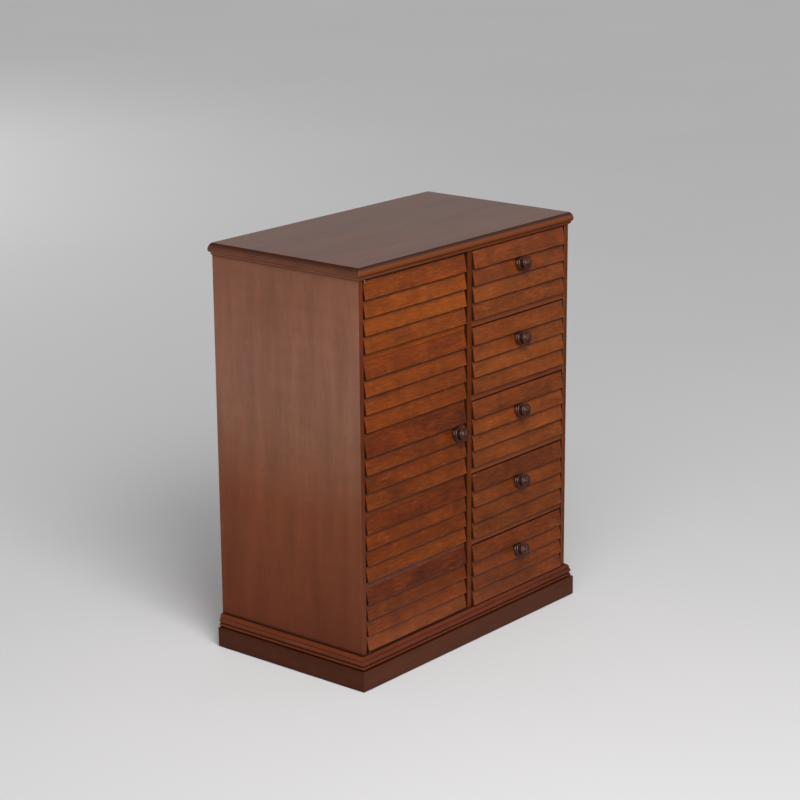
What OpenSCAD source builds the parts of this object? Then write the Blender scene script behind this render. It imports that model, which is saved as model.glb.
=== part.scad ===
// Slatted cabinet: a full-height cupboard door on the left and five drawers on the right, all
// faced with sloping slats, in a plain case with a moulded top, a base moulding and a plinth.
// Millimetres. +Z is up and the front faces -Y. The origin is on the floor, at the middle of the
// object's box, which reaches from the back of the case to the noses of the drawer knobs.

/* [Case] */
// Width over the side panels
case_w = 676; // [640:4:720]
// Depth from the panels' front edges to the back
case_d = 380; // [350:5:420]
// Height from the floor to the top surface
case_h = 850; // [815:5:890]
// Thickness of a side panel
side_t = 13; // [11:0.5:16]
// Thickness of the upright divider
divider_t = 13; // [11:0.5:16]
// How far the divider stands to the right of the middle
divider_off = 3.5; // [-12:0.5:12]
// Thickness of the back panel
back_t = 6; // [4:0.5:8]
// How far the back panel is let into each side panel
back_let = 6.5; // [4:0.5:8]
// Thickness of the bottom board
bottom_t = 16; // [13:0.5:19]
// Rounding of the front arrises of the panels and the divider
arris_r = 1.5; // [0.5:0.25:2.5]

/* [Top] */
// Thickness of the top board
top_t = 19; // [17:0.5:19.5]
// Overhang of the top's moulded edge at the front and the ends
top_over = 8; // [7:0.5:9.5]
// Overhang of the top's moulded edge at the back
top_back_over = 5; // [3:0.5:8]
// Height of the nosing's rounding over its widest line
top_rise = 14; // [13:0.25:14.5]
// Radius of the rounding over the widest line of the nosing
top_round = 18.7; // [17.5:0.1:20]
// Radius of the rounding under the widest line of the nosing
nose_r = 6; // [5.5:0.1:7]
// Height of the bed moulding, shared by the top rails behind it
bed_h = 7; // [6:0.5:10]
// Projection of the bed moulding
bed_over = 4.2; // [3:0.2:4.4]
// Fillet at the foot of the bed moulding
bed_fillet = 0.8; // [0.5:0.1:1.5]
// Height of that fillet
bed_fillet_h = 1.2; // [0.6:0.1:1.6]
// Width of the flat rails under the top
top_rail_w = 60; // [45:1:80]

/* [Base] */
// Height of the plinth
plinth_h = 42.3; // [36.3:1:55.3]
// Thickness of the plinth boards
plinth_t = 14.5; // [13:0.5:18]
// Rounding of the plinth's lower edge
plinth_round = 3; // [1:0.5:5]
// Rounding of the plinth's upper edge
plinth_arris = 1.2; // [0.6:0.1:2]
// Width of the flat on top of the base moulding
base_flat = 4; // [3:0.25:4.5]
// Projection of the base moulding's sloping top member
slope_over = 8.8; // [8:0.1:9.6]
// Height of the sloping member
slope_h = 7.9; // [7:0.1:9]
// How far the sloping member's face swells
slope_swell = 0.9; // [0.4:0.1:0.9]
// Projection of the base moulding at the edges of its band
band_over = 8.4; // [7.6:0.1:9]
// Height of the band
band_h = 10; // [8:0.2:11]
// How far the band's face swells
band_swell = 2; // [1.2:0.1:2.4]
// Height of each quirk beside the band
quirk_h = 1.2; // [0.8:0.1:1.6]
// Depth of each quirk
quirk_d = 1.8; // [1:0.1:2.4]
// Radius of the bead
bead_r = 3.2; // [2.6:0.1:3.6]
// Height of the fillet under the bead
base_fillet_h = 1; // [0.6:0.1:1.4]
// Side of the square glue blocks inside the plinth
block_w = 30; // [22:1:40]
// Gap under the glue blocks
block_lift = 4; // [2:1:10]

/* [Drawer openings] */
// Thickness of the rails between the drawers
rail_t = 13; // [10:0.5:16]
// Depth of the rails from front to back
rail_d = 60; // [45:1:80]
// How far the rails lie behind the panels' front edges
rail_in = 3.5; // [2.5:0.25:4]
// How much taller the top opening is than the middle ones
top_extra = 3.6; // [0:0.2:7]
// How much lower the bottom opening is than the middle ones
bottom_less = 8.6; // [0:0.2:12]
// Width of the runners and kickers
runner_w = 16; // [13:0.5:20]
// Length and width of a drawer stop
stop_w = 20; // [14:1:26]
// Height of a drawer stop
stop_h = 6; // [4:0.5:7]
// Width between the middles of a drawer's two stops
stop_span_w = 180; // [120:10:220]

/* [Slats] */
// Slats on each drawer front, and in each group on the door
slat_count = 4; // [3:1:5]
// Slope of a slat's face, in degrees from upright
slat_slope = 11.3; // [9:0.1:12]
// Thickness of a slat at its top edge
slat_edge = 4; // [3:0.25:5]
// Rounding of a slat's lower arris
slat_round = 1.2; // [0.6:0.1:2]
// Extra height of the top slat of each group
slat_extra = 1.5; // [0:0.5:6]
// Open seam between one slat and the next
slat_seam = 0.3; // [0.2:0.1:0.6]
// How far a drawer slat's top edge lies behind the panels' front edges
drawer_slat_in = 0.3; // [0:0.1:1.5]
// Gap beside the drawer slats at the divider
drawer_slat_gap_left = 1.25; // [1:0.25:4]
// Gap beside the drawer slats at the side panel
drawer_slat_gap_right = 7; // [2:0.5:8]
// How far a door slat's top edge lies behind the panels' front edges
door_slat_in = 4.3; // [4:0.1:5.5]
// Gap beside the door slats at the hinges
door_slat_gap_left = 3.5; // [2.5:0.25:5]
// Gap beside the door slats at the divider
door_slat_gap_right = 7.2; // [4:0.2:9]

/* [Drawers] */
// Thickness of the board behind a drawer's slats
front_t = 15; // [12:0.5:18]
// Gap above and below a drawer front
front_gap = 2; // [1:0.1:2.2]
// Gap between a drawer and the panel on each side
drawer_gap = 1; // [0.6:0.1:2]
// Thickness of the drawer sides
drawer_side_t = 9; // [7:0.5:12]
// Thickness of the drawer backs
drawer_back_t = 9; // [7:0.5:12]
// Thickness of the drawer bottoms
drawer_bottom_t = 5; // [3:0.5:6]
// Height of a drawer bottom above the lower edge of the drawer's sides
bottom_lift = 8; // [7:0.5:12]
// Depth of the grooves that hold the drawer bottom
groove_d = 4; // [3:0.5:5]
// Tails on the front end of a drawer side
tail_count = 4; // [3:1:5]
// Tails on its back end
back_tail_count = 3; // [2:1:4]
// Narrow width of the pins between the tails
tail_pin_w = 7; // [5:0.5:9]
// Slope of the tails, in degrees
tail_slope = 8; // [6:0.5:9]
// Wood left in front of the tails
lap_t = 4.5; // [3.5:0.5:6]
// Running gap between the drawer sides and what they slide on
run_gap = 0.3; // [0.2:0.05:0.5]
// Gap between the drawer sides and what is above them
side_drop = 3; // [2:0.5:6]
// Gap behind a closed drawer
rear_gap = 12; // [6:1:20]

/* [Door] */
// Thickness of the board behind the door's slats
door_t = 16; // [13:0.5:17]
// Gap between the door board and the panel on each side
door_gap_side = 1.5; // [1.3:0.1:2]
// Gap above the door
door_gap_top = 3.5; // [1.5:0.1:4]
// Gap below the door
door_gap_bottom = 3.5; // [3:0.1:4.5]
// Height of the false rails between the door's groups of slats
false_rail_h = 13; // [10:0.5:16]
// Fine gap above and below a false rail
false_rail_gap = 0.5; // [0.2:0.1:1]

/* [Shelves] */
// Thickness of the shelves
shelf_t = 13; // [10:0.5:18]
// Clear height under the lower shelf
lower_bay_h = 240; // [200:5:260]
// Clear height between the shelves
middle_bay_h = 240; // [200:5:260]
// Gap at each end of a shelf
shelf_gap = 0.5; // [0.3:0.1:1]
// Gap between the closed door and the shelves that stop it
door_stop_gap = 0.7; // [0.4:0.1:1.5]
// Width of the battens under the shelves
batten_w = 12; // [9:0.5:18]
// Height of the battens
batten_h = 16; // [10:0.5:22]

/* [Knobs] */
// Diameter of a knob's head
knob_d = 29; // [26:0.5:31]
// Length of a knob in front of its slat
knob_len = 27; // [24:0.5:29]
// Diameter of the two rings at the knob's foot
foot_d = 26.8; // [24:0.2:28]
// Radius of the rings' rounded edges
ring_r = 2.2; // [1.8:0.1:2.4]
// Gap between the rings
ring_gap = 1; // [0.6:0.1:1.2]
// Diameter of the neck
neck_d = 13; // [12:0.5:14]
// Distance of the head's rim from the seat
rim_at = 20.6; // [19.4:0.2:21.4]
// Radius of the rim's rounded edge
rim_r = 1.5; // [1.2:0.1:1.8]
// Radius of the button at the middle of the head
button_r = 4; // [3:0.5:5]
// Height of the button
button_h = 1.2; // [0.8:0.1:1.6]
// Diameter of the spigot that is glued into the front
spigot_d = 10; // [8:0.5:10.5]
// Length of the spigot
spigot_l = 15; // [12:0.5:15.5]
// Gap round the spigot for glue
glue_gap = 0.1; // [0.05:0.05:0.2]
// Distance of a drawer knob's centre below the slat edge above it
knob_drop = 15.4; // [14.4:0.2:18]
// Distance of the door knob's centre below the slat edge above it
door_knob_drop = 18.2; // [14.4:0.2:18.6]
// Distance of the door knob's centre from the divider
door_knob_in = 35.7; // [29:0.1:45]

/* [Hinges and catch] */
// Distance of the pivot from the side panel
pivot_in = 5; // [4.8:0.1:6]
// Diameter of the pivot pins
pin_d = 3.6; // [3:0.1:4]
// Clearance round a pin
pin_gap = 0.05; // [0.03:0.01:0.08]
// Radius of the eye round a pin
eye_r = 3.6; // [3.3:0.1:4]
// Width of the hinge leaves
leaf_w = 10; // [7:0.5:11]
// Length of the hinge leaves
leaf_l = 42; // [30:1:50]
// Thickness of the leaves let into the door
door_leaf_t = 2; // [1.5:0.1:2.5]
// Thickness of the leaves screwed to the case
case_leaf_t = 1.3; // [1:0.1:1.3]
// Play between the leaves
leaf_play = 0.2; // [0.1:0.05:0.2]
// How far a pin reaches past the leaf that turns on it
pin_tip_l = 0.5; // [0.3:0.1:0.8]
// Diameter of the ball catch's barrel
catch_d = 8; // [6:0.5:9]
// Length of the barrel
catch_l = 14; // [10:0.5:18]
// How far the ball stands out of the door's edge
ball_out = 1; // [0.5:0.1:1]
// Diameter of the ball
ball_d = 6; // [4:0.5:6]

/* [Hidden] */

$fn = 48;
drawer_count = 5;
arc_steps = 8;
cut = 1;

// Slopes of the slats
rise = cos(slat_slope);
lean = sin(slat_slope);
slant = tan(slat_slope);

// Widths, from the middle of the case
case_left = -case_w / 2;
case_right = case_w / 2;
inside_left = case_left + side_t;
inside_right = case_right - side_t;
divider_left = divider_off - divider_t / 2;
divider_right = divider_off + divider_t / 2;

// Depths. The drawer knobs' noses are the foremost points.
drawer_board_in = drawer_slat_in + slat_edge;
button_curve = (button_r * button_r + button_h * button_h) / (2 * button_h);
nose_out = (knob_len - button_curve) * rise + button_curve;
knob_reach = nose_out - drawer_slat_in + knob_drop * lean;
front_y = -(case_d + top_back_over - knob_reach) / 2;
back_y = front_y + case_d;
inside_back = back_y - back_t;

// Heights
base_h = slope_h + band_h + 2 * quirk_h + 2 * bead_r + base_fillet_h;
floor_z = plinth_h + base_h;
top_z = case_h - top_t;
head_z = top_z - bed_h;

// Drawer openings, numbered from the top
open_h = head_z - floor_z;
middle_h = (open_h - (drawer_count - 1) * rail_t - top_extra + bottom_less) / drawer_count;
function opening_top(n) = n == 1 ? head_z : head_z - top_extra - (n - 1) * (middle_h + rail_t);
function opening_bottom(n) = n == drawer_count ? floor_z : opening_top(n + 1) + rail_t;

// Drawers
drawer_left = divider_right + drawer_gap;
drawer_right = inside_right - drawer_gap;
drawer_mid = (drawer_left + drawer_right) / 2;
drawer_slat_left = divider_right + drawer_slat_gap_left;
drawer_slat_right = inside_right - drawer_slat_gap_right;
drawer_knob_x = (drawer_slat_left + drawer_slat_right) / 2;
drawer_face = front_y + drawer_board_in;
drawer_box_front = drawer_face + front_t;
drawer_box_back = inside_back - rear_gap;
function front_top(n) = opening_top(n) - front_gap;
function front_bottom(n) = opening_bottom(n) + front_gap;
function box_bottom(n) = opening_bottom(n) + run_gap;
function box_top(n) = opening_top(n) - side_drop;
function back_low(n) = box_bottom(n) + bottom_lift + drawer_bottom_t;
// Where the two sides of a drawer lie in X. The sockets for them also run out at the ends.
function side_spans(grow = 0) =
    let (out = grow > 0 ? cut : 0)
    [
        [drawer_left - out, drawer_left + drawer_side_t + grow],
        [drawer_right - drawer_side_t - grow, drawer_right + out]
    ];

// Door. Its groups of slats end near the lower edges of the drawers, each a little off.
door_left = inside_left + door_gap_side;
door_right = divider_left - door_gap_side;
door_slat_left = inside_left + door_slat_gap_left;
door_slat_right = divider_left - door_slat_gap_right;
door_top = head_z - door_gap_top;
door_bottom = floor_z + door_gap_bottom;
door_face = front_y + door_slat_in + slat_edge;
door_back = door_face + door_t;
group_shift = [-2.8, -4, -7.5, 0.5];
false_band = false_rail_h + 2 * false_rail_gap;
function group_bottom(g) = g == drawer_count ? door_bottom : front_bottom(g) + group_shift[g - 1];
function group_top(g) = g == 1 ? door_top : group_bottom(g - 1) - false_band;

// Hinges and catch
pivot_x = inside_left + pivot_in;
pivot_y = front_y;
leaf_mid = (door_face + door_back) / 2;
catch_z = (group_bottom(3) + group_top(3)) / 2;

// Shelves
shelf_z = [floor_z + lower_bay_h, floor_z + lower_bay_h + shelf_t + middle_bay_h];
shelf_front = door_back + door_stop_gap;

// Points along an arc
function arc(x, y, r, from, to, first = 0) = [
    for (i = [first:arc_steps])
        let (a = from + (to - from) * i / arc_steps)
        [x + r * cos(a), y + r * sin(a)]
];

// Points along a shallow arc that swells to the left of the way from one point to another, which
// is outwards for a section that is followed down
function swelling(from, to, swell) =
    let (
        chord = norm(to - from),
        r = (chord * chord / 4 + swell * swell) / (2 * swell),
        out = [from[1] - to[1], to[0] - from[0]] / chord,
        centre = (from + to) / 2 + (swell - r) * out,
        half = asin(chord / 2 / r),
        facing = atan2(out[1], out[0])
    )
    [
        for (i = [0:arc_steps])
            let (a = facing + half * (1 - 2 * i / arc_steps))
            centre + r * [cos(a), sin(a)]
    ];

// Height of an ordinary slat in a group that is h tall
function slat_pitch(h) = (h - slat_extra) / slat_count;
// Height of the lower edge of slat i, counted from the top of a group that is h tall
function slat_foot(h, i) = -slat_extra - i * slat_pitch(h);

// Runs a section along X. The section's x becomes Y and its y becomes Z.
module run_x(from, to) {
    translate([from, 0, 0])
        rotate([90, 0, 90])
            linear_extrude(to - from)
                children();
}

// Runs a section along Y. The section's x stays X and its y becomes Z.
module run_y(from, to) {
    translate([0, to, 0])
        rotate([90, 0, 0])
            linear_extrude(to - from)
                children();
}

// A block given by its lowest and highest corners
module block(low, high) {
    translate(low)
        cube(high - low);
}

// An upright board whose two front arrises are rounded
module upright(left, right, back, low, high) {
    translate([0, 0, low])
        linear_extrude(high - low) {
            translate([left, front_y + arris_r])
                square([right - left, back - front_y - arris_r]);
            translate([left + arris_r, front_y])
                square([right - left - 2 * arris_r, arris_r + cut]);
            for (x = [left + arris_r, right - arris_r])
                translate([x, front_y + arris_r])
                    circle(arris_r);
        }
}

// The part of a mitred run along the front that lies between its two mitres
module front_mitre(reach) {
    linear_extrude(case_h)
        polygon([
            [case_left - reach, front_y - reach],
            [case_right + reach, front_y - reach],
            [case_right, front_y],
            [case_left, front_y]
        ]);
}

// The same for the run along an end, with side -1 for the left and 1 for the right
module end_mitre(side, reach) {
    linear_extrude(case_h)
        polygon([
            [side * case_right, front_y],
            [side * (case_right + reach), front_y - reach],
            [side * (case_right + reach), back_y],
            [side * case_right, back_y]
        ]);
}

// A run of moulding along the front. The section's points give projection and height.
module front_run(section, reach) {
    intersection() {
        run_x(case_left - reach, case_right + reach)
            translate([front_y, 0])
                polygon([for (p = section) [-p[0], p[1]]]);
        front_mitre(reach);
    }
}

// A run of moulding along one end
module end_run(section, side, reach) {
    intersection() {
        run_y(front_y - reach, back_y)
            translate([side * case_right, 0])
                polygon([for (p = section) [side * p[0], p[1]]]);
        end_mitre(side, reach);
    }
}

// Moulding sections, as projection and height
top_nose = top_z + top_t - top_rise;
top_back_y = back_y + top_back_over - top_over;
top_edge = concat(
    [[top_over - top_round, top_z]],
    arc(top_over - nose_r, top_nose, nose_r, asin((top_z - top_nose) / nose_r), 0),
    arc(top_over - top_round, top_nose, top_round, 0, asin(top_rise / top_round), 1)
);
bed_r = bed_over - bed_fillet;
bed_section = concat(
    [[0, top_z], [0, head_z], [bed_fillet, head_z]],
    arc(bed_fillet, head_z + bed_fillet_h + bed_r, bed_r, -90, 0),
    [[bed_over, top_z]]
);
slope_z = floor_z - slope_h;
band_top_z = slope_z - quirk_h;
band_low_z = band_top_z - band_h;
bead_top_z = band_low_z - quirk_h;
bead_over = band_over - quirk_d / 2;
base_section = concat(
    [[0, plinth_h], [0, floor_z]],
    swelling([base_flat, floor_z], [slope_over, slope_z], slope_swell),
    [[band_over - quirk_d, (slope_z + band_top_z) / 2]],
    swelling([band_over, band_top_z], [band_over, band_low_z], band_swell),
    [[band_over - quirk_d, (band_low_z + bead_top_z) / 2]],
    arc(bead_over, bead_top_z - bead_r, bead_r, 90, -90),
    [[bead_over, plinth_h]]
);
plinth_section = concat(
    [[0, 0]],
    arc(plinth_t - plinth_round, plinth_round, plinth_round, -90, 0),
    arc(plinth_t - plinth_arris, plinth_h - plinth_arris, plinth_arris, 0, 90),
    [[0, plinth_h]]
);

module top_board() {
    color([0.42, 0.26, 0.18])
        intersection() {
            run_x(case_left - top_over, case_right + top_over)
                polygon(concat(
                    [for (p = top_edge) [front_y - p[0], p[1]]],
                    [for (i = [len(top_edge) - 1:-1:0]) [top_back_y + top_edge[i][0], top_edge[i][1]]]
                ));
            run_y(front_y - top_over, back_y + top_back_over)
                polygon(concat(
                    [for (p = top_edge) [case_right + p[0], p[1]]],
                    [for (i = [len(top_edge) - 1:-1:0]) [case_left - top_edge[i][0], top_edge[i][1]]]
                ));
        }
}

module top_rails() {
    color([0.55, 0.36, 0.22]) {
        block([inside_left, front_y, head_z], [inside_right, front_y + top_rail_w, top_z]);
        block([inside_left, inside_back - top_rail_w, head_z], [inside_right, inside_back, top_z]);
    }
}

module bed_moulding_front() {
    color([0.40, 0.20, 0.12])
        front_run(bed_section, bed_over);
}

module bed_moulding_left() {
    color([0.40, 0.20, 0.12])
        end_run(bed_section, -1, bed_over);
}

module bed_moulding_right() {
    color([0.40, 0.20, 0.12])
        end_run(bed_section, 1, bed_over);
}

// A side panel, rebated at the back for the back panel
module side_panel(side) {
    outer = side * case_right;
    inner = side * inside_right;
    color([0.47, 0.27, 0.18])
        difference() {
            upright(min(outer, inner), max(outer, inner), back_y, 0, top_z);
            block(
                [min(inner - side * cut, inner + side * back_let), inside_back, floor_z - bottom_t],
                [max(inner - side * cut, inner + side * back_let), back_y + cut, top_z + cut]
            );
        }
}

module side_panel_left() {
    side_panel(-1);
}

module side_panel_right() {
    side_panel(1);
}

module divider() {
    color([0.47, 0.27, 0.18])
        upright(divider_left, divider_right, inside_back, floor_z, head_z);
}

module back_panel() {
    color([0.58, 0.42, 0.28])
        block(
            [inside_left - back_let, inside_back, floor_z - bottom_t],
            [inside_right + back_let, back_y, top_z]
        );
}

module bottom_board() {
    color([0.50, 0.30, 0.19])
        block([inside_left, front_y, floor_z - bottom_t], [inside_right, inside_back, floor_z]);
}

module drawer_rails() {
    color([0.45, 0.22, 0.13])
        for (n = [2:drawer_count])
            block(
                [divider_right, front_y + rail_in, opening_top(n)],
                [inside_right, front_y + rail_in + rail_d, opening_top(n) + rail_t]
            );
}

// Runners level with the rails, and kickers level with the top rails
module drawer_runners() {
    color([0.60, 0.44, 0.30])
        for (left = [divider_right, inside_right - runner_w]) {
            for (n = [2:drawer_count])
                block(
                    [left, front_y + rail_in + rail_d, opening_top(n)],
                    [left + runner_w, inside_back, opening_top(n) + rail_t]
                );
            block(
                [left, front_y + top_rail_w, head_z],
                [left + runner_w, inside_back - top_rail_w, top_z]
            );
        }
}

// Small blocks behind each drawer front, which stop it level with its neighbours
module drawer_stops() {
    color([0.60, 0.44, 0.30])
        for (n = [1:drawer_count], out = [-stop_span_w / 2, stop_span_w / 2])
            translate([drawer_mid + out - stop_w / 2, drawer_box_front + run_gap, opening_bottom(n)])
                cube([stop_w, stop_w, stop_h]);
}

module shelves() {
    color([0.52, 0.33, 0.21])
        for (z = shelf_z)
            block(
                [inside_left + shelf_gap, shelf_front, z],
                [divider_left - shelf_gap, inside_back, z + shelf_t]
            );
}

module shelf_battens() {
    color([0.60, 0.44, 0.30])
        for (z = shelf_z, left = [inside_left, divider_left - batten_w])
            block(
                [left, shelf_front, z - batten_h],
                [left + batten_w, inside_back, z]
            );
}

module plinth_front() {
    color([0.36, 0.20, 0.14])
        front_run(plinth_section, plinth_t);
}

module plinth_left() {
    color([0.36, 0.20, 0.14])
        end_run(plinth_section, -1, plinth_t);
}

module plinth_right() {
    color([0.36, 0.20, 0.14])
        end_run(plinth_section, 1, plinth_t);
}

module plinth_back() {
    color([0.50, 0.34, 0.24])
        block([inside_left, back_y - plinth_t, 0], [inside_right, back_y, floor_z - bottom_t]);
}

// Blocks in the corners and at the middle of the plinth, glued to it and to the bottom board
module glue_blocks() {
    last = inside_right - block_w;
    color([0.60, 0.44, 0.30])
        for (x = [inside_left, -block_w / 2, last], y = [front_y, back_y - plinth_t - block_w])
            translate([x, y, block_lift])
                cube([block_w, block_w, floor_z - bottom_t - block_lift]);
}

module base_moulding_front() {
    color([0.36, 0.18, 0.11])
        front_run(base_section, plinth_t);
}

module base_moulding_left() {
    color([0.36, 0.18, 0.11])
        end_run(base_section, -1, plinth_t);
}

module base_moulding_right() {
    color([0.36, 0.18, 0.11])
        end_run(base_section, 1, plinth_t);
}

// A slat in section, hung from the top of the board behind it. Its face leans out downwards.
module slat_section(h) {
    tip_x = slat_edge + (h - slat_round) * slant - slat_round / rise;
    points = concat(
        [[0, -h], [0, 0], [slat_edge, 0]],
        arc(tip_x, slat_round - h, slat_round, slat_slope, -90)
    );
    polygon([for (p = points) [-p[0], p[1]]]);
}

// A group of slats on a board's face, from a top edge down to a bottom edge
module slat_group(left, right, face, top, bottom) {
    h = top - bottom;
    for (i = [1:slat_count])
        let (
            high = i == 1 ? 0 : slat_foot(h, i - 1),
            seam = i == slat_count ? 0 : slat_seam
        )
            translate([0, face, top + high])
                run_x(left, right)
                    slat_section(high - slat_foot(h, i) - seam);
}

// Moves a knob to the second slat of a group and turns it square to the slat's face
module at_knob(x, face, top, bottom, drop) {
    edge = top + slat_foot(top - bottom, 1);
    translate([x, face - slat_edge - drop * lean, edge - drop * rise])
        rotate([90 - slat_slope, 0, 0])
            children();
}

module at_drawer_knob(n) {
    at_knob(drawer_knob_x, drawer_face, front_top(n), front_bottom(n), knob_drop)
        children();
}

module at_door_knob() {
    at_knob(divider_left - door_knob_in, door_face, group_top(3), group_bottom(3), door_knob_drop)
        children();
}

// A turned knob with its seat at z = 0: two rings, a neck, and a domed head with a rim
module knob() {
    color([0.24, 0.15, 0.12]) {
        translate([0, 0, -spigot_l])
            cylinder(d = spigot_d, h = spigot_l + cut);
        rotate_extrude()
            intersection() {
                square([knob_d / 2, knob_len]);
                union() {
                    knob_foot();
                    knob_neck();
                    knob_head();
                }
            }
    }
}

// Half a disc with a rounded edge, in section, of radius r and thickness 2 * edge_r from z up
module rounded_disc(r, edge_r, z) {
    translate([0, z])
        square([r - edge_r, 2 * edge_r]);
    translate([r - edge_r, z + edge_r])
        circle(edge_r);
}

module knob_foot() {
    rounded_disc(foot_d / 2, ring_r, 0);
    rounded_disc(foot_d / 2, ring_r, 2 * ring_r + ring_gap);
    square([foot_d / 2 - ring_r, 2 * ring_r + ring_gap + cut]);
}

// The neck, with a cove that opens out under the head
module knob_neck() {
    cove_r = (knob_d - neck_d) / 2 - rim_r;
    cove_z = rim_at - rim_r - cove_r;
    square([neck_d / 2, rim_at]);
    difference() {
        translate([0, cove_z])
            square([neck_d / 2 + cove_r, cove_r + cut]);
        translate([neck_d / 2 + cove_r, cove_z])
            circle(cove_r);
    }
}

// The head: a rim, a quirk inside it, a dome and a small button
module knob_head() {
    foot_r = knob_d / 2 - 2 * rim_r;
    dome_h = knob_len - button_h - rim_at;
    dome_r = (foot_r * foot_r + dome_h * dome_h) / (2 * dome_h);
    translate([0, rim_at - rim_r])
        square([knob_d / 2 - rim_r, rim_r + cut]);
    translate([knob_d / 2 - rim_r, rim_at])
        circle(rim_r);
    intersection() {
        translate([0, rim_at])
            square([foot_r, dome_h]);
        translate([0, rim_at + dome_h - dome_r])
            circle(dome_r, $fn = 96);
    }
    intersection() {
        translate([0, rim_at])
            square([button_r, knob_len - rim_at]);
        translate([0, knob_len - button_curve])
            circle(button_curve);
    }
}

// The hole for a knob's spigot
module knob_hole() {
    translate([0, 0, -spigot_l - leaf_play])
        cylinder(d = spigot_d + 2 * glue_gap, h = spigot_l + leaf_play + cut);
}

// Outline of a hinge leaf: a bar along the door's edge with an arm that brings its eye forward
module leaf_outline(grow = 0) {
    translate([pivot_x - eye_r - grow, pivot_y])
        square([2 * (eye_r + grow), leaf_mid + leaf_w / 2 + grow - pivot_y]);
    translate([pivot_x - grow, leaf_mid - leaf_w / 2 - grow])
        square([leaf_l + 2 * grow, leaf_w + 2 * grow]);
    translate([pivot_x, pivot_y])
        circle(eye_r + grow);
}

// A leaf screwed to the case, under the top rail or on the bottom board, with its pin
module case_leaf(low, pin_low, pin_high) {
    translate([0, 0, low])
        linear_extrude(case_leaf_t)
            leaf_outline();
    translate([pivot_x, pivot_y, pin_low])
        cylinder(d = pin_d, h = pin_high - pin_low);
}

module case_hinges() {
    color([0.72, 0.60, 0.34]) {
        case_leaf(head_z - case_leaf_t, door_top - door_leaf_t - pin_tip_l, head_z);
        case_leaf(floor_z, floor_z, door_bottom + door_leaf_t + pin_tip_l);
        translate([pivot_x, pivot_y, floor_z])
            cylinder(r = eye_r, h = door_gap_bottom - leaf_play);
    }
}

// What the door's leaves and the pins' tips take out of the door
module leaf_recess() {
    deep = door_leaf_t + 2 * pin_tip_l;
    for (low = [door_top - door_leaf_t, door_bottom - cut])
        translate([0, 0, low])
            linear_extrude(door_leaf_t + cut)
                leaf_outline(glue_gap);
    for (low = [door_top - deep, door_bottom - cut])
        translate([pivot_x, pivot_y, low])
            cylinder(r = eye_r + glue_gap, h = deep + cut);
}

module door_hinges() {
    color([0.72, 0.60, 0.34])
        for (low = [door_bottom, door_top - door_leaf_t])
            difference() {
                translate([0, 0, low])
                    linear_extrude(door_leaf_t)
                        leaf_outline();
                translate([pivot_x, pivot_y, low - cut])
                    cylinder(d = pin_d + 2 * pin_gap, h = door_leaf_t + 2 * cut);
            }
}

module door_board() {
    color([0.38, 0.20, 0.12])
        difference() {
            block([door_left, door_face, door_bottom], [door_right, door_back, door_top]);
            leaf_recess();
            at_door_knob()
                knob_hole();
            translate([door_right - catch_l, leaf_mid, catch_z])
                rotate([0, 90, 0])
                    cylinder(d = catch_d + 2 * glue_gap, h = catch_l + cut);
        }
}

module door_slats() {
    color([0.55, 0.27, 0.14])
        difference() {
            for (g = [1:drawer_count])
                slat_group(door_slat_left, door_slat_right, door_face, group_top(g), group_bottom(g));
            leaf_recess();
            at_door_knob()
                knob_hole();
        }
}

module door_false_rails() {
    color([0.45, 0.22, 0.13])
        for (g = [1:drawer_count - 1])
            block(
                [door_slat_left, front_y + rail_in, group_top(g + 1) + false_rail_gap],
                [door_slat_right, door_face, group_bottom(g) - false_rail_gap]
            );
}

// A barrel let into the door's edge, with a ball that meets the divider
module door_catch() {
    color([0.72, 0.60, 0.34])
        translate([door_right, leaf_mid, catch_z])
            rotate([0, 90, 0]) {
                translate([0, 0, -catch_l])
                    cylinder(d = catch_d, h = catch_l);
                intersection() {
                    translate([0, 0, ball_out - ball_d / 2])
                        sphere(d = ball_d);
                    translate([0, 0, -cut])
                        cylinder(d = ball_d, h = ball_out + 2 * cut);
                }
            }
}

module door_knob() {
    at_door_knob()
        knob();
}

// The space that a drawer's bottom takes, which is also the groove that holds it
module bottom_space(n, side_grow, thick_grow) {
    z = box_bottom(n) + bottom_lift;
    block(
        [drawer_left + drawer_side_t - groove_d - side_grow, drawer_box_front - groove_d - side_grow, z],
        [
            drawer_right - drawer_side_t + groove_d + side_grow,
            drawer_box_back + side_grow,
            z + drawer_bottom_t + thick_grow
        ]
    );
}

// A row of dovetails in a board's height, from low to high. Their roots are at 0 and they are len
// long, towards -Y with way -1 and towards +Y with way 1.
module tail_row(low, high, count, way, len, grow) {
    pitch = (high - low) / count;
    tip = (pitch - tail_pin_w) / 2 + grow;
    root = tip - len * tan(tail_slope);
    for (i = [1:count])
        translate([0, low + (i - 0.5) * pitch])
            polygon([
                [-way * cut, -root],
                [0, -root],
                [way * (len + grow), -tip],
                [way * (len + grow), tip],
                [0, root],
                [-way * cut, root]
            ]);
}

// The lapped dovetails at the front of a drawer's sides or, grown, the sockets for them
module front_tails(n, grow = 0) {
    for (span = side_spans(grow))
        run_x(span[0], span[1])
            translate([drawer_box_front, 0])
                tail_row(box_bottom(n), box_top(n), tail_count, -1, front_t - lap_t, grow);
}

// The through dovetails at the back
module back_tails(n, grow = 0) {
    for (span = side_spans(grow))
        run_x(span[0], span[1])
            translate([drawer_box_back - drawer_back_t, 0])
                tail_row(back_low(n), box_top(n), back_tail_count, 1, drawer_back_t, grow);
}

module drawer_front(n) {
    color([0.38, 0.20, 0.12])
        difference() {
            block(
                [drawer_left, drawer_face, front_bottom(n)],
                [drawer_right, drawer_box_front, front_top(n)]
            );
            front_tails(n, glue_gap);
            bottom_space(n, glue_gap, glue_gap);
            at_drawer_knob(n)
                knob_hole();
        }
}

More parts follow.
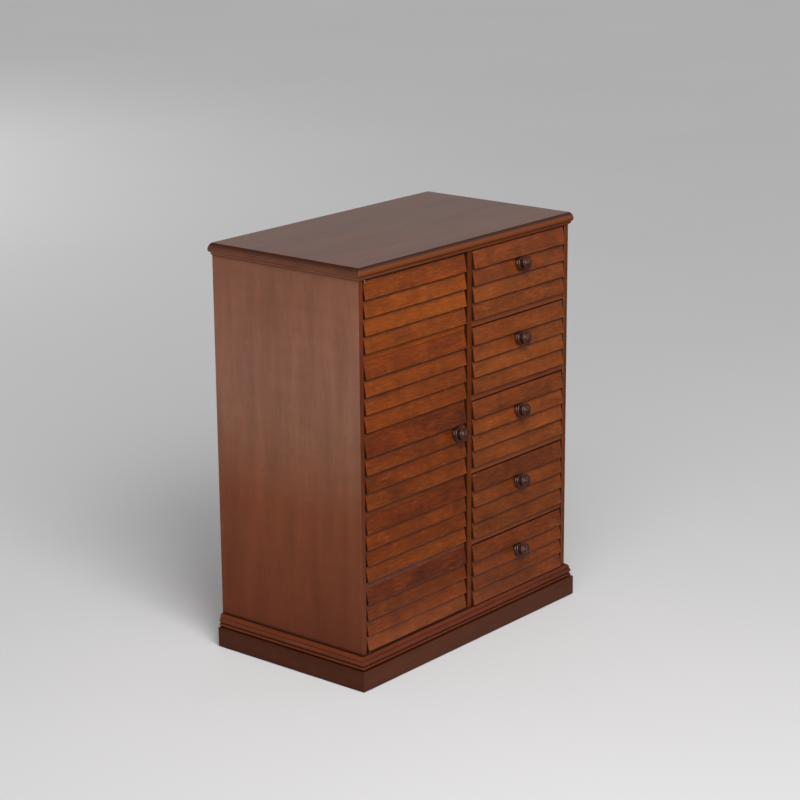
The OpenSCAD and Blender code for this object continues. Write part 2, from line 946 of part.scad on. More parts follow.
module drawer_slats(n) {
    color([0.55, 0.27, 0.14])
        difference() {
            slat_group(
                drawer_slat_left, drawer_slat_right,
                drawer_face, front_top(n), front_bottom(n)
            );
            at_drawer_knob(n)
                knob_hole();
        }
}

module drawer_sides(n) {
    color([0.66, 0.50, 0.34])
        difference() {
            union() {
                for (span = side_spans()) {
                    block(
                        [span[0], drawer_box_front, box_bottom(n)],
                        [span[1], drawer_box_back - drawer_back_t, box_top(n)]
                    );
                    block(
                        [span[0], drawer_box_front, box_bottom(n)],
                        [span[1], drawer_box_back, back_low(n)]
                    );
                }
                front_tails(n);
                back_tails(n);
            }
            bottom_space(n, glue_gap, glue_gap);
        }
}

module drawer_back(n) {
    color([0.66, 0.50, 0.34])
        difference() {
            block(
                [drawer_left, drawer_box_back - drawer_back_t, back_low(n) + glue_gap],
                [drawer_right, drawer_box_back, box_top(n)]
            );
            back_tails(n, glue_gap);
        }
}

module drawer_bottom(n) {
    color([0.70, 0.56, 0.40])
        bottom_space(n, 0, 0);
}

module drawer_knob(n) {
    at_drawer_knob(n)
        knob();
}

top_board();
top_rails();
bed_moulding_front();
bed_moulding_left();
bed_moulding_right();
side_panel_left();
side_panel_right();
divider();
back_panel();
bottom_board();
drawer_rails();
drawer_runners();
drawer_stops();
shelves();
shelf_battens();
plinth_front();
plinth_left();
plinth_right();
plinth_back();
glue_blocks();
base_moulding_front();
base_moulding_left();
base_moulding_right();
case_hinges();
door_board();
door_slats();
door_false_rails();
door_hinges();
door_catch();
door_knob();
for (n = [1:drawer_count]) {
    drawer_front(n);
    drawer_slats(n);
    drawer_sides(n);
    drawer_back(n);
    drawer_bottom(n);
    drawer_knob(n);
}
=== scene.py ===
import math

import bmesh
import bpy
from mathutils import Matrix, Vector


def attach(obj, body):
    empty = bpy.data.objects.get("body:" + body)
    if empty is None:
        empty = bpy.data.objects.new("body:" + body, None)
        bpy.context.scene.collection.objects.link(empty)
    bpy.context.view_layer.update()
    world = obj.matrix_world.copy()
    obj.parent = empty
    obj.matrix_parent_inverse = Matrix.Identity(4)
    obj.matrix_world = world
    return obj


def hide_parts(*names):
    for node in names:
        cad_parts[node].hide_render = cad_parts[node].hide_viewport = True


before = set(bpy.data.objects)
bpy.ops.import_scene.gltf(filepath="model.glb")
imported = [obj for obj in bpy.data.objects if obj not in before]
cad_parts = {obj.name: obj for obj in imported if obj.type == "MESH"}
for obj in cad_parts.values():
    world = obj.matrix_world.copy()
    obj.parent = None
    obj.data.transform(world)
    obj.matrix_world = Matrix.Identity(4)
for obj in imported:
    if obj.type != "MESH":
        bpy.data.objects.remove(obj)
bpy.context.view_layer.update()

# The photograph's viewpoint, in the cabinet's frame, with the lens and the sensor in millimetres
# and how far the camera sees in metres
CAMERA_AT = Vector((-3.5502, -2.9395, 1.7977))
CAMERA_YAW = math.radians(50.349)
CAMERA_PITCH = math.radians(15.884)
CAMERA_ROLL = math.radians(-0.436)
CAMERA_LENS = 104.17
CAMERA_SENSOR = 36
CAMERA_REACH = 200

# The room's light: the walls, and the ceiling above them, which starts and is full at these upward
# parts of a direction
WALL_LIGHT = 0.44
CEILING_LIGHT = 0.10
CEILING_FROM_TO = (0.35, 0.65)

# The windows: each one's direction, the half-angles in degrees where it is full and where it ends,
# and its strength. The last one is a dark corner.
DARK_CORNER = (0.74, -0.67, 0.0)
WINDOWS = (
    ((-0.55, -0.60, 0.58), 14, 46, 2.1),
    ((0.63, -0.58, 0.52), 4, 16, 0.8),
    (DARK_CORNER, 18, 60, -0.20),
)

# The lamps: where each one hangs and its size in metres, its power in watts, the point that it is
# aimed at and how wide it shines in degrees. The second one lights the floor behind the cabinet.
LAMPS = {
    "soft_box": dict(at=(-1.3, -2.0, 2.5), size=(1.4, 1.4), power=52, aim=(0, 0, 0.45), spread=180),
    "wall_wash": dict(at=(1.0, 6.5, 4.0), size=(3.0, 3.0), power=45, aim=(1.0, 6.6, 0), spread=100),
}

# The floor: its screen colours, the tone that lights the cabinet, and the tones that the polish
# mirrors, on the sheet and beyond its edge, which fades out between two distances in metres. Then
# its noise (scale, detail and roughness), its polish and its disc.
FLOOR_SEEN = ((224, 223, 224), (230, 229, 230))
FLOOR_BOUNCE = (0.38, 0.38, 0.38, 1)
FLOOR_SHEEN = (0.62, 0.62, 0.62, 1)
FLOOR_BEYOND = (0.10, 0.10, 0.10, 1)
SHEET_EDGE = (0.3, 0.8)
FLOOR_CLOUDS = (0.8, 3, 0.5)
FLOOR_ROUGHNESS, FLOOR_SHINE = 0.85, 0.2
FLOOR_RADIUS, FLOOR_SIDES = 60, 96
FLOOR_DROP = 0.0002

# How far the arrises are eased, in metres, on boards and on knobs and metal, in how many steps, and
# from which angle an edge is an arris
EASE = 0.0006
FINE_EASE = 0.0002
EASE_STEPS = 3
ARRIS_FROM = math.radians(40)

# Below the first angle facets are joined, and above the second one the shading breaks. Points
# closer than the distance are one.
FLAT_BELOW = math.radians(0.4)
SHADING_BREAKS_FROM = math.radians(38)
SAME_POINT = 1e-6

# In a group of four slats, the first one is darker and redder than the others. A slat's tone is
# mostly its place in the group, by this share, and for the rest its own number.
SLAT_TONES = (0.0, 0.55, 0.8, 0.7)
PLACE_SHARE = 0.65

# Where the boards' own numbers start on each piece, and how far apart two boards lie
CASE_SEED = 10
DOOR_BOARD_SEED, DOOR_SLATS_SEED, FALSE_RAILS_SEED, DOOR_KNOB_SEED = 41, 42, 63, 70
FRONT_SEED, SLATS_SEED, SIDES_SEED, BACK_SEED, BOTTOM_SEED, KNOB_SEED = 80, 90, 130, 140, 150, 160
SLATS_SEED_STEP = 5.3
BOARD_STEP = 1.7
BOARD_SHIFT = (3.1, 5.3, 7.7)

DRAWERS = 5

# The patterns in the wood: how often each one repeats along and across the grain, and the detail,
# roughness and distortion of its noise
GRAIN = {
    "bands": ((1.1, 15), (4, 0.55, 0.7)),
    "streaks": ((7, 190), (3, 0.6)),
    "lines": ((45, 1500), (2, 0.6)),
    "ribbon": ((42, 9), (3, 0.55, 0.4)),
    "patches": ((3.0, 6.0), (3, 0.5)),
    "flecks": ((48, 430), (4, 0.6)),
    "clouds": ((16, 34), (2, 0.5)),
    "drifts": ((4, 32), (3, 0.55, 0.3)),
}

# Where along the bands the dark, the middle and the light colour stand
DARK_AT, MID_AT, LIGHT_AT = 0.34, 0.5, 0.66

# What a wood is like, apart from its colours, where its own function doesn't say otherwise
PLAIN_WOOD = dict(
    # The polish
    roughness=0.42, shine=0.3, coat=0.0,
    # How much the boards differ, in level and in hue
    tone=0.2, hue_swing=0.004,
    # How strong each pattern is
    streak=0.38, mottle=0.3, drift=0.2, fleck=0.3, cloud=0.2, golden=0.0, pores=0.5,
    # Age and painted light: arrises lighter from wear and a painted highlight, old polish and
    # painted shade in corners, end grain dark and partly painted shade, and painted light by height
    wear=0.5, grime=1.0, end_grain=0.75, faded=None,
    # Marks that only some pieces have: painted shade on a moulded shoulder with painted light on
    # its nose, old polish and painted shade on ledges, and a front edge stained and darkened with
    # painted shade
    dark_shoulder=0.0, dark_ledge=0.0, stained_front=False,
)

# Which of those settings weighs which pattern, in a board's level
UNEVEN = (
    ("ribbon", "mottle"), ("patches", "mottle"), ("drifts", "drift"), ("flecks", "fleck"),
    ("clouds", "cloud"),
)

# Screen colours of the old polish with its painted shade, the flecks, the painted light on a
# moulded nose, the painted shade on its shoulder, and the stain with painted shade on front edges
OLD_POLISH = (38, 11, 3)
GOLDEN_FLECK = (172, 98, 36)
RUBBED_NOSE = (122, 60, 22)
SHOULDER_STAIN = (48, 17, 4)
FRONT_STAIN = (34, 13, 6)

# How dark pores and end grain are, as a share of the wood's dark colour, the end grain's darkness
# partly painted shade, and how a lightened arris, partly wear and partly a painted highlight,
# follows from its light one
PORE_SHADE = 0.55
END_SHADE = 0.5
RUBBED_TIMES, RUBBED_PLUS = 1.2, 6

# Ranges over which an effect comes in: a face that looks along an axis, a pore's line, a fleck, a
# cloud, a patch of wear and painted highlight, an open corner, where old polish and painted shade
# fade out, and the depth of a stained front edge with painted shade in metres
ALONG_AXIS = (0.6, 0.9)
PORE_LINE = (0.60, 0.70)
BRIGHT_FLECK = (0.5, 0.75)
OPEN_CLOUD = (0.4, 0.6)
WORN_PATCH = (0.35, 0.6)
LEAST_WORN = 0.35
OPEN_CORNER = (0.35, 0.95)
CORNER_REACH, CORNER_SAMPLES = 0.010, 8
STAINED_TO = (-0.168, -0.160)

# A moulded edge, by how far a face looks up or to the front: its nose and underside get painted
# light, its shoulder painted shade, and a ledge old polish and painted shade
FRONT_FACING = (0.3, 0.6)
NOSE_FROM, NOSE_TO, NOSE_RUBBED = (-0.15, 0.05), (0.35, 0.5), 0.6
UNDERSIDE, UNDERSIDE_RUBBED = (0.0, 0.3), 0.5
SHOULDER_STARTS_IN_FRONT, SHOULDER_FULL, SHOULDER_ENDS = 0.3, 0.55, (0.82, 0.94)
LEDGE = (0.9, 0.99)

# The surface: how much streaks and the mask of old polish and painted shade change the polish, the
# coat, and the relief of the grain
STREAK_DULLS, DIRT_DULLS = 0.22, 0.2
COAT_ROUGHNESS = 0.28
PORE_DEPTH, STREAK_RELIEF, BAND_RELIEF = -0.7, 0.35, 0.5
WOOD_RELIEF, BRASS_RELIEF = (0.22, 0.0006), (0.15, 0.0002)

# Painted light by height on the side and the slats, heights in metres and their screen colours. The
# side turns paler and greyer upwards as painted sheen, over a dark line at its foot, where it meets
# the moulding, that is old polish and painted shade. The slats turn mostly lighter upwards as
# painted light from above.
SIDE_FADING = {"share": 0.8, "facing": "X", "stops": (
    (0.071, (44, 14, 3)), (0.0755, (98, 40, 5)), (0.34, (123, 67, 37)),
    (0.50, (144, 98, 75)), (0.60, (149, 103, 83)), (0.79, (139, 92, 71)),
)}
DOOR_FADING = {"share": 0.6, "stops": (
    (0.10, (100, 39, 1)), (0.46, (97, 36, 1)), (0.62, (121, 52, 2)), (0.78, (130, 60, 4)),
)}
DRAWER_FADING = {"share": 0.6, "stops": (
    (0.10, (107, 48, 18)), (0.31, (103, 49, 16)), (0.45, (114, 54, 18)),
    (0.60, (128, 63, 20)), (0.75, (115, 54, 18)),
)}

# Brass by its height in metres: dark low down as painted shade, where the lower pivot sits in the
# gap under the door, and pale near the top, where it shows. Then its clean and tarnished colours,
# where its clouds turn to tarnish, the clouds' noise, its scratches along and across, and its
# roughness with what tarnish adds.
BRASS_BY_HEIGHT = ((0.1, (40, 28, 18)), (0.6, (60, 44, 30)), (0.8, (150, 134, 106)))
BRASS_CLEAN, BRASS_TARNISHED = (176, 156, 118), (96, 74, 48)
BRASS_HEIGHT_SHARE = 0.75
TARNISH = (0.42, 0.62)
BRASS_CLOUDS = (160, 4, 0.6)
BRASS_SCRATCHES = (60, 1400)
BRASS_ROUGHNESS, TARNISH_DULLS = 0.26, 0.25


def srgb(red, green, blue):
    """A colour given as 0 to 255 on a screen, as linear light."""
    def channel(value):
        share = value / 255
        return share / 12.92 if share <= 0.04045 else ((share + 0.055) / 1.055) ** 2.4
    return (channel(red), channel(green), channel(blue), 1)


def shaded(colour, share):
    """A screen colour made darker, as linear light."""
    return srgb(*[share * channel for channel in colour])


# Node trees

class Graph:
    """A node tree, with short calls for the nodes that the finishes and the room's light share."""

    def __init__(self, tree):
        self.tree = tree

    def link(self, source, target):
        self.tree.links.new(source, target)

    def put(self, value, socket):
        """Sets a socket to a number or a colour, or links it to another node's output."""
        if isinstance(value, bpy.types.NodeSocket):
            self.link(value, socket)
        else:
            socket.default_value = value

    def node(self, kind, **settings):
        made = self.tree.nodes.new(kind)
        for key, value in settings.items():
            setattr(made, key, value)
        return made

    def coordinates(self, kind):
        return self.node("ShaderNodeTexCoord").outputs[kind]

    def math(self, operation, first, second=0.0, clamp=False):
        made = self.node("ShaderNodeMath", operation=operation, use_clamp=clamp)
        self.put(first, made.inputs[0])
        self.put(second, made.inputs[1])
        return made.outputs[0]

    def plus(self, first, second, clamp=False):
        return self.math("ADD", first, second, clamp)

    def minus(self, first, second):
        return self.math("SUBTRACT", first, second)

    def times(self, first, second):
        return self.math("MULTIPLY", first, second)

    def swing(self, pattern, amount):
        """How far a pattern lies from its middle, weighed by an amount."""
        return self.times(self.minus(pattern, 0.5), amount)

    def mix(self, factor, first, second):
        made = self.node("ShaderNodeMix", data_type="RGBA")
        self.put(factor, made.inputs["Factor"])
        self.put(first, made.inputs["A"])
        self.put(second, made.inputs["B"])
        return made.outputs["Result"]

    def remap(self, value, low, high, to_low=0.0, to_high=1.0):
        made = self.node("ShaderNodeMapRange", interpolation_type="SMOOTHSTEP")
        for socket, number in zip(made.inputs, (value, low, high, to_low, to_high)):
            self.put(number, socket)
        return made.outputs["Result"]

    def component(self, vector, axis):
        made = self.node("ShaderNodeSeparateXYZ")
        self.put(vector, made.inputs["Vector"])
        return made.outputs[axis]

    def facing(self, axis):
        """How far a face looks along an axis, either way, from 0 to 1."""
        return self.remap(
            self.math("ABSOLUTE", self.component(self.coordinates("Normal"), axis)), *ALONG_AXIS
        )

    def dot(self, vector, direction):
        made = self.node("ShaderNodeVectorMath", operation="DOT_PRODUCT")
        self.put(vector, made.inputs[0])
        made.inputs[1].default_value = direction
        return made.outputs["Value"]

    def attribute(self, name):
        return self.node("ShaderNodeAttribute", attribute_name=name).outputs["Fac"]

    def noise(self, vector, scale, detail=2.0, roughness=0.5, distortion=0.0):
        made = self.node("ShaderNodeTexNoise")
        self.put(vector, made.inputs["Vector"])
        made.inputs["Scale"].default_value = scale
        made.inputs["Detail"].default_value = detail
        made.inputs["Roughness"].default_value = roughness
        made.inputs["Distortion"].default_value = distortion
        return made.outputs["Fac"]

    def stretched(self, vector, along, scale_along, scale_across):
        """The coordinates scaled by one number along the grain and by another across it."""
        made = self.node("ShaderNodeVectorMath", operation="MULTIPLY")
        self.put(vector, made.inputs[0])
        factors = [scale_across] * 3
        factors["XYZ".index(along)] = scale_along
        made.inputs[1].default_value = factors
        return made.outputs[0]

    def ramp(self, value, stops):
        """A colour that follows a value, from a few of its numbers and their screen colours."""
        made = self.node("ShaderNodeValToRGB")
        self.put(value, made.inputs["Fac"])
        elements = made.color_ramp.elements
        elements.remove(elements[0])
        elements[0].position, elements[0].color = stops[0][0], srgb(*stops[0][1])
        for number, colour in stops[1:]:
            elements.new(number).color = srgb(*colour)
        return made.outputs["Color"]

    def by_height(self, stops):
        """A colour that follows the height in metres."""
        return self.ramp(self.component(self.coordinates("Object"), "Z"), stops)


class Finish(Graph):
    """A new material's node tree, which ends in one shader."""

    def __init__(self, name):
        self.material = bpy.data.materials.new(name)
        self.material.use_nodes = True
        super().__init__(self.material.node_tree)
        self.tree.nodes.clear()
        self.shader = self.node("ShaderNodeBsdfPrincipled")
        output = self.node("ShaderNodeOutputMaterial")
        self.link(self.shader.outputs["BSDF"], output.inputs["Surface"])

    def relief(self, height, strength, distance):
        bump = self.node("ShaderNodeBump")
        bump.inputs["Strength"].default_value = strength
        bump.inputs["Distance"].default_value = distance
        self.put(height, bump.inputs["Height"])
        self.put(bump.outputs["Normal"], self.shader.inputs["Normal"])


# What a wood is made of

def grain_coordinates(graph):
    """Object coordinates, shifted by each board's own number so that no two boards match."""
    place = graph.coordinates("Object")
    shift = graph.node("ShaderNodeVectorMath", operation="SCALE")
    shift.inputs[0].default_value = BOARD_SHIFT
    graph.put(graph.attribute("tone"), shift.inputs["Scale"])
    total = graph.node("ShaderNodeVectorMath", operation="ADD")
    graph.put(place, total.inputs[0])
    graph.put(shift.outputs[0], total.inputs[1])
    return total.outputs[0]


def grain_patterns(graph, along):
    place = grain_coordinates(graph)
    return {
        name: graph.noise(graph.stretched(place, along, *scales), 1, *noise)
        for name, (scales, noise) in GRAIN.items()
    }


def banded(graph, grain, streak, dark, mid, light):
    """The wood's own colours, which follow its bands and streaks."""
    bands = graph.times(grain["bands"], 1 - streak)
    streaks = graph.times(grain["streaks"], streak)
    stops = ((DARK_AT, dark), (MID_AT, mid), (LIGHT_AT, light))
    return graph.ramp(graph.plus(bands, streaks), stops)


def faded(graph, colour, share, stops, facing=None):
    """Painted light and shade by height, mixed over the colour, only on faces that look along an
    axis if one is given.
    """
    if facing:
        share = graph.times(graph.facing(facing), share)
    return graph.mix(share, colour, graph.by_height(stops))


def uneven(graph, grain, colour, look):
    """Each board is a little darker or lighter than its neighbours, and from place to place."""
    own = graph.minus(graph.attribute("tone"), 0.5)
    level = graph.plus(1.0, graph.times(own, look["tone"]))
    for pattern, amount in UNEVEN:
        level = graph.plus(level, graph.swing(grain[pattern], look[amount]))
    hue = graph.node("ShaderNodeHueSaturation")
    graph.put(colour, hue.inputs["Color"])
    graph.put(level, hue.inputs["Value"])
    graph.put(graph.plus(0.5, graph.times(own, look["hue_swing"])), hue.inputs["Hue"])
    return hue.outputs["Color"]


def golden_flecked(graph, grain, colour, golden):
    shining = graph.times(graph.remap(grain["flecks"], *BRIGHT_FLECK), golden)
    share = graph.times(shining, graph.remap(grain["clouds"], *OPEN_CLOUD))
    return graph.mix(share, colour, srgb(*GOLDEN_FLECK))


def dark_ends(graph, colour, along, dark, end_grain):
    """End grain drinks in the polish and stays dark; this darkening also stands in as painted shade
    on ends that sit in gaps.
    """
    ends = graph.times(graph.facing(along), end_grain)
    return graph.mix(ends, colour, shaded(dark, END_SHADE))


def shouldered(graph, colour, strength):
    """Painted shade on the shoulder of a moulded edge, over painted light on its nose and
    underside.
    """
    normal = graph.coordinates("Normal")
    upward = graph.component(normal, "Z")
    downward = graph.times(upward, -1.0)
    front = graph.remap(graph.times(graph.component(normal, "Y"), -1.0), *FRONT_FACING)
    nose = graph.times(
        graph.remap(upward, *NOSE_FROM), graph.remap(upward, *NOSE_TO, NOSE_RUBBED, 0.0)
    )
    under = graph.times(
        graph.remap(downward, *UNDERSIDE, 0.0, UNDERSIDE_RUBBED), graph.minus(1.0, front)
    )
    rubbed = graph.plus(graph.times(nose, front), under)
    colour = graph.mix(rubbed, colour, srgb(*RUBBED_NOSE))
    start = graph.times(front, SHOULDER_STARTS_IN_FRONT)
    shoulder = graph.times(
        graph.remap(upward, start, SHOULDER_FULL), graph.remap(upward, *SHOULDER_ENDS, 1.0, 0.0)
    )
    return graph.mix(graph.times(shoulder, strength), colour, srgb(*SHOULDER_STAIN))


def ledged(graph, colour, strength):
    """Old polish and painted shade on faces that look straight up, such as a narrow ledge."""
    upward = graph.component(graph.coordinates("Normal"), "Z")
    return graph.mix(graph.remap(upward, *LEDGE, 0.0, strength), colour, srgb(*OLD_POLISH))


def stained_in_front(graph, colour):
    """A front edge that is stained like the rest of the case, and darker still as painted shade in
    the gaps.
    """
    depth = graph.component(graph.coordinates("Object"), "Y")
    return graph.mix(graph.remap(depth, *STAINED_TO, 1.0, 0.0), colour, srgb(*FRONT_STAIN))


def worn(graph, grain, colour, light, wear):
    """Arrises made lighter, more in some patches than in others: partly wear, partly a painted
    highlight.
    """
    share = graph.times(graph.attribute("arris"), wear)
    share = graph.times(share, graph.remap(grain["patches"], *WORN_PATCH, LEAST_WORN, 1.0))
    rubbed = [min(255, RUBBED_TIMES * channel + RUBBED_PLUS) for channel in light]
    return graph.mix(share, colour, srgb(*rubbed))


def corner_dirt(graph, grime):
    """How much old polish and painted shade lie on a surface, most in corners and gaps, found by
    ambient occlusion.
    """
    corner = graph.node("ShaderNodeAmbientOcclusion", samples=CORNER_SAMPLES)
    corner.inputs["Distance"].default_value = CORNER_REACH
    return graph.times(graph.remap(corner.outputs["AO"], *OPEN_CORNER, 1.0, 0.0), grime)


def polished(graph, grain, dirt, look):
    """Gloss that varies with the streaks and is dulled where old polish and painted shade lie."""
    gloss = graph.plus(look["roughness"], graph.swing(grain["streaks"], STREAK_DULLS))
    gloss = graph.plus(gloss, graph.times(dirt, DIRT_DULLS), clamp=True)
    graph.put(gloss, graph.shader.inputs["Roughness"])
    graph.shader.inputs["Specular IOR Level"].default_value = look["shine"]
    graph.shader.inputs["Coat Weight"].default_value = look["coat"]
    graph.shader.inputs["Coat Roughness"].default_value = COAT_ROUGHNESS


def grained(graph, grain, pore):
    """The relief of pores, streaks and bands."""
    height = graph.plus(graph.times(pore, PORE_DEPTH), graph.times(grain["streaks"], STREAK_RELIEF))
    height = graph.plus(height, graph.times(grain["bands"], BAND_RELIEF))
    graph.relief(height, *WOOD_RELIEF)


def wood(name, along, dark, mid, light, **settings):
    """Polished wood. Its grain runs along one axis, and dark, mid and light are screen colours. The
    settings change what PLAIN_WOOD says."""
    look = {**PLAIN_WOOD, **settings}
    graph = Finish(name)
    grain = grain_patterns(graph, along)
    colour = banded(graph, grain, look["streak"], dark, mid, light)
    # Painted light and shade by height
    if look["faded"]:
        colour = faded(graph, colour, **look["faded"])
    colour = uneven(graph, grain, colour, look)
    if look["golden"]:
        colour = golden_flecked(graph, grain, colour, look["golden"])
    pore = graph.remap(grain["lines"], *PORE_LINE)
    colour = graph.mix(graph.times(pore, look["pores"]), colour, shaded(dark, PORE_SHADE))
    # End grain darkened, partly as painted shade
    colour = dark_ends(graph, colour, along, dark, look["end_grain"])
    # Painted shade on a moulded shoulder, painted light on its nose and underside
    if look["dark_shoulder"]:
        colour = shouldered(graph, colour, look["dark_shoulder"])
    # Old polish and painted shade on upward ledges
    if look["dark_ledge"]:
        colour = ledged(graph, colour, look["dark_ledge"])
    # Front edges stained and darkened as painted shade
    if look["stained_front"]:
        colour = stained_in_front(graph, colour)
    # Arrises lighter: wear and a painted highlight
    colour = worn(graph, grain, colour, light, look["wear"])
    # Old polish and painted shade in corners and gaps
    dirt = corner_dirt(graph, look["grime"])
    colour = graph.mix(dirt, colour, srgb(*OLD_POLISH))
    graph.put(colour, graph.shader.inputs["Base Color"])
    polished(graph, grain, dirt, look)
    grained(graph, grain, pore)
    return graph.material


# The woods of the case

def side_panel_wood():
    # The side is paler higher up as painted sheen, with painted shade at its foot
    return wood(
        "panel_upright", "Z", dark=(90, 38, 12), mid=(100, 46, 18), light=(110, 55, 26),
        roughness=0.5, shine=0.27, pores=0.25, streak=0.3, mottle=0.2, drift=0.6, fleck=0.35,
        cloud=0.1, faded=SIDE_FADING,
    )


def top_wood():
    # The moulded edge has painted shade on its shoulder and painted light on its nose and underside
    return wood(
        "top_lengthways", "X", dark=(78, 34, 6), mid=(91, 42, 9), light=(105, 51, 15),
        roughness=0.34, coat=0.2, shine=0.42, pores=0.3, mottle=0.1, end_grain=0.0, wear=0.1,
        dark_shoulder=0.85,
    )


def trim_wood(name, along):
    """The base mouldings."""
    # The ledges carry old polish and painted shade
    return wood(
        name, along, dark=(80, 30, 10), mid=(94, 39, 16), light=(110, 50, 24),
        roughness=0.34, shine=0.25, wear=0.15, grime=0.7, dark_ledge=0.8,
    )


def rail_wood():
    """The rails between the drawers."""
    return wood(
        "rail_lengthways", "X", dark=(114, 55, 28), mid=(128, 65, 36), light=(142, 77, 46),
        roughness=0.45, shine=0.25, grime=0.25,
    )


def divider_wood():
    return wood(
        "divider_upright", "Z", dark=(86, 36, 7), mid=(99, 45, 10), light=(114, 57, 17),
        shine=0.2, grime=0.7,
    )


def bed_wood(name, along, dark, mid, light):
    """The bed moulding under the top. Its colours are lifted as painted light, paler at its ends
    than in front.
    """
    return wood(name, along, dark, mid, light, roughness=0.4, shine=0.25, grime=0.5)


def plinth_wood(name, along, shine):
    return wood(
        name, along, dark=(63, 25, 6), mid=(75, 32, 9), light=(89, 43, 16),
        roughness=0.46, shine=shine, grime=0.6,
    )


def inner_wood(name, along):
    """Unpolished boards inside and behind."""
    # Front edges are stained and carry painted shade
    return wood(
        name, along, dark=(120, 82, 54), mid=(142, 100, 68), light=(160, 116, 82),
        roughness=0.7, shine=0.4, wear=0.2, grime=0.5, stained_front=True,
    )


# The woods and the metal of the fronts

def slat_wood(name, fading):
    """Golden and flecked, and different from slat to slat."""
    # The slats get painted light by height, mostly lighter higher up
    return wood(
        name, "X", dark=(96, 39, 3), mid=(111, 48, 6), light=(128, 60, 12),
        roughness=0.33, shine=0.5, tone=0.42, hue_swing=0.007, mottle=0.6, drift=1.0, fleck=1.35,
        cloud=0.6, golden=0.3, faded=fading,
    )


def front_board_wood():
    """The boards behind the slats."""
    return wood(
        "front_board_lengthways", "X", dark=(48, 18, 6), mid=(58, 24, 9), light=(70, 32, 14)
    )


def drawer_wood(name, along):
    """The pale sides, backs and bottoms of the drawers."""
    return wood(
        name, along, dark=(140, 102, 68), mid=(160, 120, 84), light=(178, 138, 100),
        roughness=0.62, wear=0.2, grime=0.35,
    )


def knob_wood():
    return wood(
        "knob_grain", "Y", dark=(50, 20, 9), mid=(64, 29, 15), light=(80, 40, 23),
        roughness=0.22, coat=0.3, shine=0.35, pores=0.15, fleck=0.1, wear=0.0, grime=0.6,
        end_grain=0.0,
    )


def brass(name):
    """Old brass, dulled to brown in patches, and dark low down as painted shade."""
    graph = Finish(name)
    place = graph.coordinates("Object")
    scratch = graph.noise(graph.stretched(place, "X", *BRASS_SCRATCHES), 1)
    tarnish = graph.remap(graph.noise(place, *BRASS_CLOUDS), *TARNISH)
    colour = graph.mix(tarnish, srgb(*BRASS_CLEAN), srgb(*BRASS_TARNISHED))
    # Painted shade: dark low down
    colour = graph.mix(BRASS_HEIGHT_SHARE, colour, graph.by_height(BRASS_BY_HEIGHT))
    graph.put(colour, graph.shader.inputs["Base Color"])
    graph.shader.inputs["Metallic"].default_value = 1.0
    dulled = graph.plus(BRASS_ROUGHNESS, graph.times(tarnish, TARNISH_DULLS))
    graph.put(dulled, graph.shader.inputs["Roughness"])
    graph.relief(scratch, *BRASS_RELIEF)
    return graph.material


def floor_finish(name):
    """A plain pale floor, faintly uneven. It lights the cabinet less than it shows, as a sheet does
    that ends just outside the picture."""
    graph = Finish(name)
    place = graph.coordinates("Object")
    seen = graph.mix(graph.noise(place, *FLOOR_CLOUDS), *[srgb(*colour) for colour in FLOOR_SEEN])
    path = graph.node("ShaderNodeLightPath")
    beyond = graph.remap(graph.dot(place, DARK_CORNER), *SHEET_EDGE)
    sheen = graph.mix(beyond, FLOOR_SHEEN, FLOOR_BEYOND)
    mirrored = graph.mix(path.outputs["Is Glossy Ray"], FLOOR_BOUNCE, sheen)
    colour = graph.mix(path.outputs["Is Camera Ray"], mirrored, seen)
    graph.put(colour, graph.shader.inputs["Base Color"])
    graph.shader.inputs["Roughness"].default_value = FLOOR_ROUGHNESS
    graph.shader.inputs["Specular IOR Level"].default_value = FLOOR_SHINE
    return graph.material


# Dressing the construction's pieces

def faces_of_islands(mesh):
    """The loose pieces of a mesh, each as a list of its faces."""
    left = set(mesh.faces)
    islands = []
    for start in mesh.faces:
        if start not in left:
            continue
        left.discard(start)
        island, queue = [], [start]
        while queue:
            face = queue.pop()
            island.append(face)
            for edge in face.edges:
                for other in edge.link_faces:
                    if other in left:
                        left.discard(other)
                        queue.append(other)
        islands.append(island)
    return islands


def island_key(island):
    """Sorts loose pieces from the top down and then from left to right."""
    centre = sum((face.calc_center_median() for face in island), Vector()) / len(island)
    return (round(-centre.z, 4), round(centre.x, 4), round(centre.y, 4))


def own_number(seed):
    """A number from 0 to 1 that depends only on the seed, the same on every run."""
    return 0.5 + 0.5 * math.sin(seed * 12.9898 + 4.1) * math.cos(seed * 3.717 + 0.6)


def board_tone(seed, number, tones):
    """The tone of one board: its own number, or mostly its place in the group if that has tones."""
    own = own_number(seed + BOARD_STEP * number)
    if tones is None:
        return own
    return PLACE_SHARE * tones[number % len(tones)] + (1 - PLACE_SHARE) * own


def eased_mesh(node, ease, seed, tones):
    """A copy of a piece's mesh with eased arrises, whose faces know their board's tone."""
    mesh = bmesh.new()
    mesh.from_mesh(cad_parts[node].data)
    bmesh.ops.remove_doubles(mesh, verts=mesh.verts, dist=SAME_POINT)
    bmesh.ops.dissolve_limit(mesh, angle_limit=FLAT_BELOW, verts=mesh.verts, edges=mesh.edges)
    corners = [
        edge for edge in mesh.edges
        if len(edge.link_faces) == 2 and edge.calc_face_angle_signed() > ARRIS_FROM
    ]
    arris = mesh.faces.layers.float.new("arris")
    tone = mesh.faces.layers.float.new("tone")
    made = bmesh.ops.bevel(
        mesh, geom=corners, offset=ease, segments=EASE_STEPS, profile=0.5, affect="EDGES",
        clamp_overlap=True,
    )
    for face in made["faces"]:
        face[arris] = 1.0
    for number, island in enumerate(sorted(faces_of_islands(mesh), key=island_key)):
        for face in island:
            face[tone] = board_tone(seed, number, tones)
            face.smooth = True
    data = bpy.data.meshes.new(node + "_dressed")
    mesh.to_mesh(data)
    mesh.free()
    data.set_sharp_from_angle(angle=SHADING_BREAKS_FROM)
    return data


